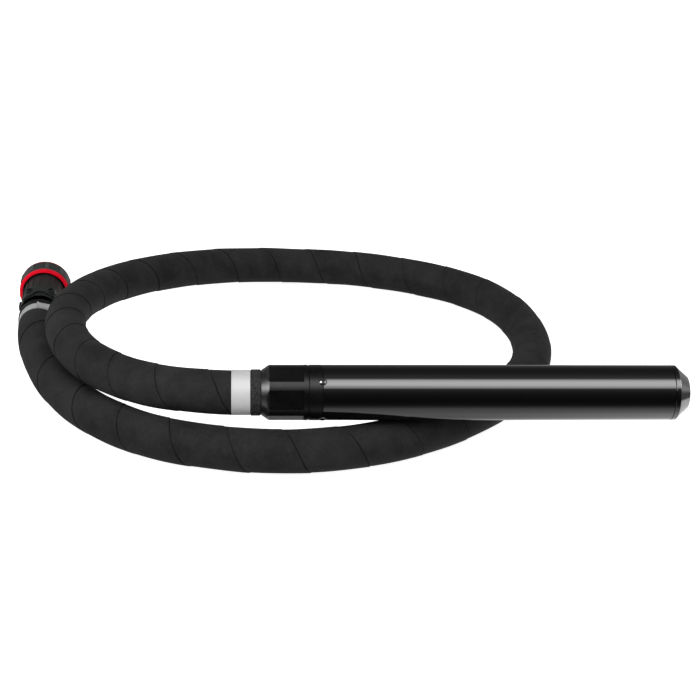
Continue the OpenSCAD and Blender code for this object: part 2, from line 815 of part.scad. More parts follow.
head_tube();
nose_cap();
nose_o_ring();
lock_collar();
rear_cap();
rear_o_ring();
lock_screws();
hose_nipple();
hose_cuff();
crimp_band();
front_bearing_housing();
front_bearing_outer();
front_bearing_inner();
front_bearing_balls();
front_bearing_cage();
front_retaining_ring();
preload_washer();
rear_bearing_housing();
rear_bearing_outer();
rear_bearing_inner();
rear_bearing_balls();
rear_bearing_cage();
stator_core();
stator_windings();
rear_spacer();
front_spacer();
seal_plate();
shaft_seal();
thermal_switch();
terminal_ring();
lead_wires();
cable_grommet();
gland_nut();
rotor_shaft();
rotor_core();
rotor_cage();
shaft_nut();
eccentric_weight();
weight_key();
hose();
power_cable();
hose_barb();
band_clamp();
band_buckle();
plug_shell();
clamp_saddle();
clamp_screws();
contact_insert();
contacts();
plug_o_ring();
nut_snap_ring();
coupling_nut();
red_ring();
front_ring();
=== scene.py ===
"""Looks of the concrete vibrator head, its wrapped hose and its twist-lock plug.

Lengths are metres in the CAD frame, unless a comment says millimetres, which MM scales.
The head's axis is X, with the nose at +X, and the plug's axis runs almost along +Y.
"""

import json
import math

import bmesh
import bpy
import numpy as np
from mathutils import Matrix, Vector, noise


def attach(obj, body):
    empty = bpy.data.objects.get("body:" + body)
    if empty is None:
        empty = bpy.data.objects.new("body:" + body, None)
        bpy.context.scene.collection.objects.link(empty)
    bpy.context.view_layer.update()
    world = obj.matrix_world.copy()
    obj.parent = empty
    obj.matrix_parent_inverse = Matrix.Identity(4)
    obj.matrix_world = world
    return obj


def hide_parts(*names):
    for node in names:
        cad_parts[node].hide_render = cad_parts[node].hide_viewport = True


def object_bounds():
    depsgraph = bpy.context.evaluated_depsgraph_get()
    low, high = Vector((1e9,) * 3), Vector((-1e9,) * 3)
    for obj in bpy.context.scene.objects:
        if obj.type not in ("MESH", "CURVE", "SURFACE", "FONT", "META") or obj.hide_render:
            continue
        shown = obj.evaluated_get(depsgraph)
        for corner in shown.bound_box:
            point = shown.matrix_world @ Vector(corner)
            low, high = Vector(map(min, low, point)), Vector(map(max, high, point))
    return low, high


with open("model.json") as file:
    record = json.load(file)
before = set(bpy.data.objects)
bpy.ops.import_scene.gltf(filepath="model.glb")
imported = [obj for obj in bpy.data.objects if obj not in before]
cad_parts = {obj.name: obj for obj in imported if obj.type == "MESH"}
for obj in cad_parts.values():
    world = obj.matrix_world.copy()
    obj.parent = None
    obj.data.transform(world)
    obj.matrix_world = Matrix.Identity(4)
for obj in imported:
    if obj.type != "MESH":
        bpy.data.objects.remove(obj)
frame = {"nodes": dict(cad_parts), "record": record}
CAD_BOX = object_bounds()
NODES = frame["nodes"]
MM = 0.001

# Where the parts that the materials tell apart begin and end, as the CAD model has them
CAP_CHAMFER_X = (-0.1976, -0.1982)    # along the head: out of the chamfer, into it
NOSE_CONE_X = (0.2216, 0.2219)        # along the head: the land, then the cone
SCREW_HEAD_REACH = (0.02885, 0.0292)  # from the head's axis: painted shade up to the socket's floor, then the head
RIB_REACH = (0.03085, 0.0314)         # from the plug's axis: the nut's body, its crests
FLANGE_Y = (0.3000, 0.2920)           # along the plug: painted shade on the flange at the clamp
NECK_START_Y = (0.2925, 0.2935)       # along the plug: the neck behind the saddle, in painted shade
NECK_END_Y = (0.3040, 0.3030)

# The end of the hose in the plug, and how far the plug's axis leans to -X along +Y
PLUG_X = -0.467
PLUG_Y = 0.283
PLUG_Z = -0.0435
PLUG_LEAN = 0.0571

HOSE_D = 0.046
HOSE_BORE = 0.032
LIE = -0.052  # height of a strand that lies on the floor


# ---------------------------------------------------------------- camera


def make_camera():
    """The photograph's view: from the front and above, turned a little to the right."""
    data = bpy.data.cameras.new("camera")
    data.lens = 76.11
    data.sensor_width = 36.0
    data.clip_start = 0.05
    data.clip_end = 60.0
    camera = bpy.data.objects.new("camera", data)
    bpy.context.scene.collection.objects.link(camera)
    turn = Matrix.Rotation(math.radians(-4.399), 4, "Z")
    tip = Matrix.Rotation(math.radians(90 - 24.287), 4, "X")
    roll = Matrix.Rotation(math.radians(1.931), 4, "Z")
    camera.matrix_world = Matrix.Translation((-0.22107, -1.35783, 0.66220)) @ turn @ tip @ roll
    bpy.context.scene.camera = camera


# ---------------------------------------------------------------- materials


class Nodes:
    """Short calls that add nodes to one tree."""

    def __init__(self, tree):
        self.tree = tree

    def node(self, kind, **values):
        made = self.tree.nodes.new(kind)
        for name, value in values.items():
            setattr(made, name, value)
        return made

    def link(self, source, target):
        """Puts a number, a colour or another node's output into a socket."""
        if hasattr(source, "is_linked"):
            self.tree.links.new(source, target)
        elif hasattr(source, "__len__") and len(source) == 3 and target.type == "RGBA":
            target.default_value = (*source, 1.0)
        else:
            target.default_value = source

    def math(self, operation, a, b=0.0):
        made = self.node("ShaderNodeMath", operation=operation)
        self.link(a, made.inputs[0])
        self.link(b, made.inputs[1])
        return made.outputs[0]

    def distance(self, a, b):
        """How far the point (a, b) is from (0, 0)."""
        squares = [self.math("MULTIPLY", part, part) for part in (a, b)]
        return self.math("SQRT", self.math("ADD", *squares))

    def split(self, vector):
        """The three parts of a vector."""
        made = self.node("ShaderNodeSeparateXYZ")
        self.link(vector, made.inputs[0])
        return made.outputs

    def remap(self, value, low, high, to_low=0.0, to_high=1.0):
        made = self.node("ShaderNodeMapRange")
        for name, number in (("Value", value), ("From Min", low), ("From Max", high),
                             ("To Min", to_low), ("To Max", to_high)):
            self.link(number, made.inputs[name])
        return made.outputs["Result"]

    def ramp(self, value, stops):
        """A number that follows (place, height) stops, with heights from 0 to 1."""
        made = self.node("ShaderNodeValToRGB")
        line = made.color_ramp.elements
        while len(line) < len(stops):
            line.new(0.5)
        for element, (place, height) in zip(line, stops):
            element.position = place
            element.color = (height, height, height, 1.0)
        self.link(value, made.inputs["Fac"])
        return made.outputs["Color"]


class Shader(Nodes):
    """A node material that is built from short calls."""

    def __init__(self, name, color, roughness, metallic=0.0, **sockets):
        self.material = bpy.data.materials.new(name)
        self.material.use_nodes = True
        super().__init__(self.material.node_tree)
        self.bsdf = self.tree.nodes["Principled BSDF"]
        self.place = self.node("ShaderNodeTexCoord").outputs["Object"]
        self.height = None
        self.bsdf.inputs["Base Color"].default_value = (*color, 1.0)
        self.bsdf.inputs["Roughness"].default_value = roughness
        self.bsdf.inputs["Metallic"].default_value = metallic
        for socket, value in sockets.items():
            self.bsdf.inputs[socket.replace("_", " ")].default_value = value

    def noise(self, scale, detail=3.0, roughness=0.55, stretch=(1, 1, 1)):
        """Fractal noise: scale in features per metre, times stretch along each axis."""
        stretched = self.node("ShaderNodeVectorMath", operation="MULTIPLY")
        self.link(self.place, stretched.inputs[0])
        stretched.inputs[1].default_value = stretch
        made = self.node("ShaderNodeTexNoise")
        made.inputs["Scale"].default_value = scale
        made.inputs["Detail"].default_value = detail
        made.inputs["Roughness"].default_value = roughness
        self.link(stretched.outputs[0], made.inputs["Vector"])
        return made.outputs["Fac"]

    def mixed(self, fac, a, b):
        """A colour that runs from a to b with fac."""
        made = self.node("ShaderNodeMix", data_type="RGBA")
        self.link(fac, made.inputs["Factor"])
        sockets = [socket for socket in made.inputs if socket.type == "RGBA"]
        self.link(a, sockets[0])
        self.link(b, sockets[1])
        return [socket for socket in made.outputs if socket.type == "RGBA"][0]

    def blend_color(self, fac, a, b):
        """Base colour that runs from a to b with fac."""
        self.link(self.mixed(fac, a, b), self.bsdf.inputs["Base Color"])

    def rough(self, value):
        self.link(value, self.bsdf.inputs["Roughness"])

    def bump(self, height, distance, strength=1.0):
        """Adds one layer of relief: distance in metres for a height of 1."""
        made = self.node("ShaderNodeBump")
        made.inputs["Strength"].default_value = strength
        made.inputs["Distance"].default_value = distance
        self.link(height, made.inputs["Height"])
        if self.height is not None:
            self.link(self.height, made.inputs["Normal"])
        self.height = made.outputs["Normal"]
        self.link(self.height, self.bsdf.inputs["Normal"])


def gloss_black():
    """Polished black coating on the head's tube, with faint wiping marks in it."""
    s = Shader("gloss_black", (0.002, 0.002, 0.002), 0.06, IOR=1.5)
    smudge = s.noise(22, 5, 0.62, (0.3, 1, 1))
    s.rough(s.remap(smudge, 0.35, 0.75, 0.045, 0.095))
    s.blend_color(smudge, (0.0012, 0.0012, 0.0013), (0.0024, 0.0024, 0.0025))
    s.bump(s.noise(60, 2, 0.5, (0.15, 1, 1)), 0.000012)
    return s.material


def satin_black(name, worn_chamfer=False):
    """Blackened steel with turning lines, worn brighter on the rear cap's chamfer."""
    s = Shader(name, (0.004, 0.004, 0.004), 0.3, IOR=1.5, Specular_IOR_Level=0.12)
    patch = s.noise(140, 5, 0.65)
    s.rough(s.remap(patch, 0.3, 0.7, 0.26, 0.36))
    s.blend_color(patch, (0.0015,) * 3, (0.0050,) * 3)
    s.bump(s.noise(1400, 3, 0.6, (1, 0.02, 0.02)), 0.00001)
    if worn_chamfer:
        x = s.split(s.place)[0]
        s.link(s.remap(x, *CAP_CHAMFER_X, 0.12, 0.75), s.bsdf.inputs["Specular IOR Level"])
    return s.material


def screw_finish():
    """Bright screw heads, with painted shade in the hexagon socket and on the heads' lower
    rims.
    """
    s = Shader("polished_steel", (0.36, 0.36, 0.37), 0.2, metallic=1.0)
    y, z = s.split(s.place)[1:3]
    head = s.remap(s.distance(y, z), *SCREW_HEAD_REACH)
    # Painted shade: steel nearer the head's axis than the socket's floor, in the socket and on
    # the heads' lower rims, is painted near black
    s.blend_color(head, (0.008, 0.008, 0.008), (0.30, 0.30, 0.31))
    s.rough(s.remap(s.noise(500), 0.3, 0.7, 0.18, 0.26))
    return s.material


def nose_finish():
    """The tube's coating on the nose's land, and its cone turned bare and left brushed."""
    s = Shader("nose_finish", (0.002, 0.002, 0.002), 0.07, IOR=1.5)
    x = s.split(s.place)[0]
    bare = s.remap(x, *NOSE_CONE_X)
    lines = s.noise(1600, 3, 0.6, (1, 0.02, 0.02))
    streaks = s.noise(90, 3, 0.5, (1, 0.3, 0.3))
    metal = s.mixed(streaks, (0.10, 0.10, 0.102), (0.17, 0.17, 0.172))
    s.blend_color(bare, (0.002, 0.002, 0.002), metal)
    s.link(bare, s.bsdf.inputs["Metallic"])
    s.rough(s.remap(bare, 0, 1, 0.07, 0.15))
    s.bump(s.math("MULTIPLY", lines, bare), 0.000012)
    return s.material


def steel(name, color, roughness, stretch=(1, 0.05, 0.05), scale=900):
    """Bare turned or ground metal."""
    s = Shader(name, color, roughness, metallic=1.0)
    lines = s.noise(scale, 3, 0.6, stretch)
    s.rough(s.remap(lines, 0.3, 0.7, roughness * 0.8, roughness * 1.25))
    s.blend_color(s.noise(70, 3, 0.5), tuple(0.85 * c for c in color), color)
    s.bump(lines, 0.000008)
    return s.material


def dull_metal(name, color, roughness, metallic):
    """Strip metal with a blasted, almost shineless face."""
    s = Shader(name, color, roughness, metallic, Specular_IOR_Level=0.3)
    patch = s.noise(160, 4, 0.6)
    s.rough(s.remap(patch, 0.3, 0.7, roughness * 0.85, roughness * 1.15))
    s.blend_color(patch, tuple(0.88 * c for c in color), tuple(1.06 * c for c in color))
    s.bump(s.noise(2600, 2, 0.5), 0.000012)
    return s.material


def stacked_steel():
    """Thin electrical-steel sheets on edge, stacked along the head's axis."""
    sheet = 0.0005
    s = Shader("lamination_steel", (0.25, 0.25, 0.26), 0.42, metallic=1.0)
    x = s.split(s.place)[0]
    sheets = s.math("SINE", s.math("MULTIPLY", x, 2 * math.pi / sheet))
    s.blend_color(s.remap(sheets, -1, 1), (0.10, 0.10, 0.11), (0.34, 0.34, 0.35))
    s.bump(sheets, 0.00004)
    return s.material


def wound_copper():
    """Enamelled copper wire laid in rows, under varnish."""
    wire = 0.0009
    s = Shader("copper_winding", (0.55, 0.16, 0.05), 0.22, metallic=0.7, Coat_Weight=0.6)
    y, z = s.split(s.place)[1:3]
    wires = s.math("SINE", s.math("MULTIPLY", s.math("ADD", y, z), 2 * math.pi / wire))
    s.blend_color(s.remap(wires, -1, 1), (0.22, 0.05, 0.015), (0.72, 0.26, 0.09))
    s.bump(wires, 0.00008)
    return s.material


def cast_iron():
    """Machined iron with a faint grain."""
    s = Shader("weight_iron", (0.16, 0.16, 0.165), 0.45, metallic=1.0)
    grain = s.noise(900, 5, 0.7)
    s.blend_color(grain, (0.09, 0.09, 0.095), (0.22, 0.22, 0.225))
    s.rough(s.remap(grain, 0.3, 0.7, 0.38, 0.55))
    s.bump(grain, 0.00003)
    return s.material


def plain_plastic(name, color, roughness, grain=2500, level=0.35):
    """Moulded plastic or smooth rubber with a fine spark grain."""
    s = Shader(name, color, roughness, IOR=1.49, Specular_IOR_Level=level)
    pits = s.noise(grain, 2, 0.5)
    patch = s.noise(45, 4, 0.6)
    s.rough(s.remap(patch, 0.3, 0.7, roughness * 0.88, min(1.0, roughness * 1.14)))
    s.blend_color(patch, tuple(0.82 * c for c in color), tuple(1.15 * c for c in color))
    s.bump(pits, 0.00003)
    return s.material


def plug_finish():
    """Black glass-filled plastic, with painted shade in the neck behind the clamp and on the
    flange.
    """
    s = Shader("plug_plastic", (0.011, 0.012, 0.012), 0.45, IOR=1.49, Specular_IOR_Level=0.18)
    y = s.split(s.place)[1]
    neck = s.math("MULTIPLY", s.remap(y, *NECK_START_Y), s.remap(y, *NECK_END_Y))
    patch = s.noise(45, 4, 0.6)
    plastic = s.mixed(patch, (0.0088, 0.0108, 0.0104), (0.0130, 0.0150, 0.0146))
    # Painted shade: the neck under the saddle and the flange at the clamp are painted near
    # black and lose their reflection
    painted_shade = s.math("MAXIMUM", neck, s.remap(y, *FLANGE_Y, 0.0, 0.72))
    s.blend_color(painted_shade, plastic, (0.001, 0.001, 0.001))
    s.link(s.remap(painted_shade, 0, 1, 0.18, 0.0), s.bsdf.inputs["Specular IOR Level"])
    s.rough(s.remap(patch, 0.3, 0.7, 0.40, 0.52))
    s.bump(s.noise(2500, 2, 0.5), 0.00003)
    return s.material


def nut_finish():
    """Black plastic, with a painted highlight in patches on the crests of the nut's grip ribs.
    """
    s = Shader("nut_plastic", (0.015, 0.016, 0.016), 0.42, IOR=1.49, Specular_IOR_Level=0.25)
    x, y, z = s.split(s.place)
    along = s.math("SUBTRACT", y, PLUG_Y)
    middle = s.math("SUBTRACT", PLUG_X, s.math("MULTIPLY", along, PLUG_LEAN))
    across = s.math("SUBTRACT", x, middle)
    up = s.math("SUBTRACT", z, PLUG_Z)
    crest = s.remap(s.distance(across, up), *RIB_REACH)
    # Painted highlight: the rib crests are painted paler, broken into patches
    painted_crest_highlight = s.math("MULTIPLY", crest, s.remap(s.noise(160, 3), 0.35, 0.6, 0.35, 1.0))
    patch = s.noise(60, 4, 0.6)
    plastic = s.mixed(patch, (0.012, 0.0135, 0.0132), (0.018, 0.0195, 0.0192))
    s.blend_color(painted_crest_highlight, plastic, (0.075, 0.080, 0.078))
    s.rough(s.remap(patch, 0.3, 0.7, 0.38, 0.50))
    s.bump(s.noise(2500, 2, 0.5), 0.00003)
    return s.material


def speckled_rubber():
    """Rough cut rubber of the cuff, with pale specks of talc."""
    s = Shader("cuff_rubber", (0.02, 0.02, 0.02), 0.8, IOR=1.45, Specular_IOR_Level=0.2)
    specks = s.noise(620, 2, 0.6)
    s.blend_color(s.remap(specks, 0.4, 0.62), (0.007, 0.007, 0.007), (0.038, 0.038, 0.038))
    s.bump(specks, 0.0003)
    return s.material


def hose_rubber():
    """Dark rubber with the print of the cloth that it was cured in, and painted shade of
    uneven strength along the seams.

    The map "wrap" says where a point is along and across the tape, in millimetres.
    """
    s = Shader("hose_rubber", (0.012, 0.012, 0.012), 0.75, IOR=1.45, Specular_IOR_Level=0.08)
    thread = 1.1
    along, across = s.split(s.node("ShaderNodeUVMap", uv_map="wrap").outputs["UV"])[0:2]
    threads = [s.math("SINE", s.math("MULTIPLY", way, 2 * math.pi / thread))
               for way in (along, across)]
    weave = s.math("MULTIPLY", *threads)
    cloudy = s.noise(24, 6, 0.68)
    dust = s.noise(420, 3, 0.7)
    shade = s.remap(s.math("ADD", cloudy, s.math("MULTIPLY", dust, 0.3)), 0.46, 0.9)
    rubber = s.mixed(shade, (0.0100, 0.0100, 0.0100), (0.0315, 0.0315, 0.0315))
    after = s.remap(across, 0.6, 1.3)
    before = s.remap(across, WRAP_WIDTH - 0.2, WRAP_WIDTH - 0.6)
    open_rubber = s.math("MULTIPLY", after, before)
    # Painted shade along the seams, where the tape's edge steps down: near black, stronger in
    # some places than in others
    seam = s.remap(s.noise(19, 2), 0.38, 0.62, 0.70, 0.10)
    s.blend_color(s.remap(open_rubber, 0, 1, seam, 1.0), (0.0, 0.0, 0.0), rubber)
    s.rough(s.remap(cloudy, 0.3, 0.7, 0.66, 0.82))
    s.bump(s.noise(650, 4, 0.65), 0.00022, 0.8)
    s.bump(weave, 0.00005, 0.8)
    return s.material


# ---------------------------------------------------------------- meshes and paths


def linked_object(name, bm):
    """A new object with this mesh, in the scene."""
    mesh = bpy.data.meshes.new(name)
    bm.to_mesh(mesh)
    bm.free()
    made = bpy.data.objects.new(name, mesh)
    bpy.context.scene.collection.objects.link(made)
    return made


def smooth_path(points, step):
    """A natural cubic spline through the points, sampled about every step."""
    points = np.array(points, float)
    t = np.concatenate([[0], np.cumsum(np.linalg.norm(np.diff(points, axis=0), axis=1))])
    count = len(points)
    h = np.diff(t)
    system = np.eye(count)
    right = np.zeros((count, 3))
    for i in range(1, count - 1):
        system[i, i - 1:i + 2] = h[i - 1], 2 * (h[i - 1] + h[i]), h[i]
        slope = np.diff(points[i - 1:i + 2], axis=0) / h[i - 1:i + 1, None]
        right[i] = 6 * (slope[1] - slope[0])
    bend = np.linalg.solve(system, right)
    fine = []
    for i in range(count - 1):
        for u in np.linspace(0, h[i], max(2, int(math.ceil(h[i] / step))), endpoint=False):
            a, b = h[i] - u, u
            fine.append((bend[i] * a ** 3 + bend[i + 1] * b ** 3) / (6 * h[i])
                        + (points[i] / h[i] - bend[i] * h[i] / 6) * a
                        + (points[i + 1] / h[i] - bend[i + 1] * h[i] / 6) * b)
    fine.append(points[-1])
    return np.array(fine)


class Spine:
    """A path with its arc length and a frame that doesn't twist, for sweeping along it."""

    def __init__(self, points):
        self.points = points
        steps = np.diff(points, axis=0)
        self.at = np.concatenate([[0], np.cumsum(np.linalg.norm(steps, axis=1))])
        self.length = float(self.at[-1])
        tangents = np.gradient(points, self.at, axis=0)
        self.tangents = tangents / np.linalg.norm(tangents, axis=1)[:, None]
        side = np.cross(self.tangents[0], (0, 0, 1))
        sides = [side / np.linalg.norm(side)]
        for tangent in self.tangents[1:]:
            side = sides[-1] - tangent * (sides[-1] @ tangent)
            sides.append(side / np.linalg.norm(side))
        self.sides = np.array(sides)

    def spot(self, s, angle, radius):
        """Points at arc length s, turned by angle about the path, at a radius from it."""
        s = np.clip(s, 0, self.length)
        middle, tangent, side = (
            np.stack([np.interp(s, self.at, table[:, k]) for k in range(3)], axis=-1)
            for table in (self.points, self.tangents, self.sides))
        other = np.cross(tangent, side)
        radius = np.asarray(radius)[..., None]
        angle = np.asarray(angle)[..., None]
        return middle + radius * (np.cos(angle) * side + np.sin(angle) * other)


# ---------------------------------------------------------------- hose

# The hose's middle line, from the rear cap's shoulder to the plug's barb
ROUTE = [
    (-0.206, 0, 0), (-0.236, 0, 0), (-0.280, 0.008, -0.001), (-0.320, 0.027, -0.004),
    (-0.355, 0.052, -0.005), (-0.385, 0.084, -0.005), (-0.407, 0.122, -0.005),
    (-0.421, 0.166, -0.005), (-0.425, 0.214, -0.007), (-0.418, 0.265, -0.011),
    (-0.400, 0.314, -0.016), (-0.372, 0.361, -0.022), (-0.333, 0.403, -0.028),
    (-0.287, 0.437, -0.034), (-0.236, 0.465, -0.041), (-0.182, 0.485, -0.048),
    (-0.125, 0.491, LIE), (-0.068, 0.481, LIE), (-0.012, 0.460, LIE), (0.038, 0.431, LIE),
    (0.079, 0.391, LIE), (0.105, 0.343, LIE), (0.117, 0.290, LIE), (0.118, 0.236, LIE),
    (0.107, 0.182, LIE), (0.084, 0.132, LIE), (0.052, 0.086, LIE), (0.012, 0.046, LIE),
    (-0.035, 0.012, LIE), (-0.088, -0.013, LIE), (-0.145, -0.027, LIE),
    (-0.202, -0.029, LIE), (-0.258, -0.019, LIE), (-0.312, 0.001, LIE),
    (-0.359, 0.034, LIE), (-0.400, 0.080, LIE), (-0.429, 0.130, -0.051),
    (-0.452, 0.190, -0.048), (-0.465, 0.248, PLUG_Z), (PLUG_X, PLUG_Y, PLUG_Z),
]

# Where the wrap's seam has come to along the hose: [turns, millimetres]. It was wound by
# hand, so the pitch wanders.
WRAP_TURNS = [
    (-2.1, 0), (0.6, 160), (4.8, 358), (7, 478), (12, 794), (17, 1107), (23.6, 1494),
    (29.7, 1862), (32.4, 2100),
]

# How the wrap's surface lies under the hose's full radius, from one seam to the next, in
# millimetres: [across the tape, depth]. The tape's edge stands up at the seam's far side.
WRAP_WIDTH = 60.0
WRAP_SECTION = [
    (0, 1.05), (0.35, 0.52), (0.75, 0.12), (1.3, 0), (2.4, 0.01), (5, 0.05), (10, 0.11),
    (15, 0.17), (20, 0.22), (25, 0.27), (30, 0.31), (35, 0.35), (40, 0.39), (45, 0.43),
    (50, 0.46), (55, 0.49), (58, 0.52), (59.1, 0.56), (59.65, 0.72),
]
WRAP_ALLOWANCE = 0.0001           # the wrap stays this far under the hose's radius
END_RADIUS = HOSE_D / 2 - 0.0004  # radius of the hose's cut ends
SEAM_WANDER = 0.0022              # how far a seam strays to each side
BULGE = 0.00012                   # height of the rubber's shallow waves
BULGE_WAVES = 85                  # their radians per metre
PER_TURN = 72                     # steps of the mesh round the hose
BORE_RINGS = 110


def wound_length(turn):
    """Arc length, in metres, that the seam reaches at each turn, with no kink in its pitch."""
    knots = np.array(WRAP_TURNS)
    spread = np.linspace(-0.75, 0.75, 7)
    pitch = np.diff(knots[:, 1]) / np.diff(knots[:, 0])
    near = np.clip(np.searchsorted(knots[:, 0], turn[:, None] + spread) - 1, 0, len(pitch) - 1)
    return (knots[near, 1] + (turn[:, None] + spread - knots[near, 0]) * pitch[near]
            ).mean(axis=1) * MM


def wrap_places(spine):
    """Arc lengths and points of the wrap: a row at each step round, a column for each place
    across the tape."""
    first = math.floor(WRAP_TURNS[0][0]) - 1
    last = math.ceil(WRAP_TURNS[-1][0]) + 1
    rows = (last - first) * PER_TURN
    share = np.array([p[0] for p in WRAP_SECTION]) / WRAP_WIDTH
    depth = np.array([p[1] for p in WRAP_SECTION]) * MM
    turn = first + np.arange(rows + PER_TURN) / PER_TURN
    seam = wound_length(turn)
    seam += np.array([noise.noise(Vector((0.9 * t, 3.1, 0.0))) for t in turn]) * SEAM_WANDER
    lift = np.array([0.85 + 0.5 * noise.noise(Vector((0.7 * t, 9.7, 0.0))) for t in turn])
    s = seam[:rows, None] * (1 - share) + seam[PER_TURN:, None] * share
    angle = 2 * math.pi * np.repeat(turn[:rows, None], len(share), axis=1)
    bulge = BULGE * np.sin(BULGE_WAVES * s + 2 * angle)
    r = HOSE_D / 2 - WRAP_ALLOWANCE - depth[None, :] * lift[:rows, None] + bulge
    r[(s <= 0) | (s >= spine.length)] = END_RADIUS
    return s, spine.spot(s, angle, r)


def add_wrap(bm, spine):
    """The wound tape, with the map "wrap" of where each point is on it."""
    s, spots = wrap_places(spine)
    rows, columns = s.shape
    uv_layer = bm.loops.layers.uv.new("wrap")
    grid = [[bm.verts.new(spot) for spot in row] for row in spots]
    tape_step = math.hypot(math.pi * HOSE_D, WRAP_WIDTH * MM) / PER_TURN
    across = [p[0] for p in WRAP_SECTION] + [WRAP_WIDTH]
    for i in range(rows - PER_TURN - 1):
        for j in range(columns):
            after = (i, j + 1) if j + 1 < columns else (i + PER_TURN, 0)
            corners = [(i, j), after, (after[0] + 1, after[1]), (i + 1, j)]
            if min(s[c] for c in corners) >= spine.length or max(s[c] for c in corners) <= 0:
                continue
            face = bm.faces.new([grid[row][column] for row, column in corners])
            on_tape = ((i, j), (i, j + 1), (i + 1, j + 1), (i + 1, j))
            for loop, (row, column) in zip(face.loops, on_tape):
                loop[uv_layer].uv = (row * tape_step / MM, across[column])


def add_bore(bm, spine):
    """The smooth bore and the hose's two cut ends."""
    round_angles = 2 * math.pi * np.arange(PER_TURN) / PER_TURN
    bore = [(at, HOSE_BORE / 2) for at in np.linspace(0, spine.length, BORE_RINGS)]
    stations = [(0.0, END_RADIUS), *bore, (spine.length, END_RADIUS)]
    rings = [[bm.verts.new(p) for p in spine.spot(np.full(PER_TURN, at), round_angles, wide)]
             for at, wide in stations]
    for a, b in zip(rings, rings[1:]):
        for k in range(PER_TURN):
            after = (k + 1) % PER_TURN
            bm.faces.new([a[k], a[after], b[after], b[k]])


def make_hose(material):
    """The wrapped hose: one tape wound as a right-handed helix, over a smooth bore."""
    path = smooth_path(ROUTE, 0.004)
    path[:, 2] = np.maximum(path[:, 2], LIE)
    spine = Spine(path)
    bm = bmesh.new()
    add_wrap(bm, spine)
    add_bore(bm, spine)
    bmesh.ops.delete(bm, geom=[v for v in bm.verts if not v.link_faces], context="VERTS")
    bmesh.ops.remove_doubles(bm, verts=bm.verts, dist=2e-6)
    bmesh.ops.dissolve_degenerate(bm, dist=1e-6, edges=bm.edges)
    bmesh.ops.recalc_face_normals(bm, faces=bm.faces)
    piece = linked_object("hose_wrap", bm)
    piece.data.polygons.foreach_set("use_smooth", [True] * len(piece.data.polygons))
    piece.data.set_sharp_from_angle(angle=math.radians(60))
    piece.data.materials.append(material)
    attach(piece, "head")
    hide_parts("hose")
    return piece, spine


# ---------------------------------------------------------------- stage


def make_floor():
    """A plain pale floor under the hose."""
    bm = bmesh.new()
    bmesh.ops.create_circle(bm, cap_ends=True, radius=14.0, segments=96)
    floor = linked_object("floor", bm)
    floor.location = (0, 0, CAD_BOX[0].z)
    s = Shader("floor_paper", (0.9, 0.9, 0.9), 0.9, Specular_IOR_Level=0.0,
               Emission_Color=(1, 1, 1, 1), Emission_Strength=0.92)
    s.blend_color(s.noise(3, 2), (0.88, 0.88, 0.88), (0.92, 0.92, 0.92))
    floor.data.materials.append(s.material)
    floor.visible_diffuse = False
    floor.visible_glossy = False


def area_light(name, place, aim, size, radiance):
    """A soft box that points at aim, for shading only: reflections come from the world."""
    data = bpy.data.lights.new(name, "AREA")
    data.shape = "RECTANGLE"
    data.size, data.size_y = size
    data.energy = radiance * size[0] * size[1] * math.pi
    light = bpy.data.objects.new(name, data)
    bpy.context.scene.collection.objects.link(light)
    direction = Vector(aim) - Vector(place)
    light.matrix_world = (Matrix.Translation(place)
                          @ direction.to_track_quat("-Z", "Y").to_matrix().to_4x4())
    light.visible_glossy = False
    light.visible_camera = False


# How bright the studio is, seen from the head, turning about the head's axis: [degrees above
# the horizon on the camera's side, radiance]. The soft box is at 43 to 82 degrees, the dark
# front of the room at the horizon, and the lit table from 46 degrees below it.
STUDIO = [
    (-180, 0.42), (-120, 0.50), (-95, 0.75), (-80, 1.20), (-60, 1.25), (-46, 1.05),
    (-36, 0.35), (-27, 0.10), (-15, 0.04), (0, 0.045), (18, 0.10), (28, 0.18), (34, 0.33),
    (40, 0.40), (43, 3.2), (48, 6.6), (55, 9.3), (62, 10.0), (70, 9.5), (76, 7.6), (80, 5.0),
    (84, 1.2), (90, 0.58), (100, 0.36), (112, 0.20), (125, 0.125), (145, 0.125),
    (165, 0.19), (180, 0.30),
]
STUDIO_PEAK = 10.0

# What the cone of the nose reflects, off the head's front end, from the floor up to the
# ceiling: [place, share of the peak]. A lit table, a dark gap and a pale card.
EAST_SIDE = [
    (0.0, 0.16), (0.336, 0.18), (0.346, 0.020), (0.46, 0.025), (0.50, 0.12), (0.54, 0.10),
    (0.57, 0.03), (1.0, 0.03),
]


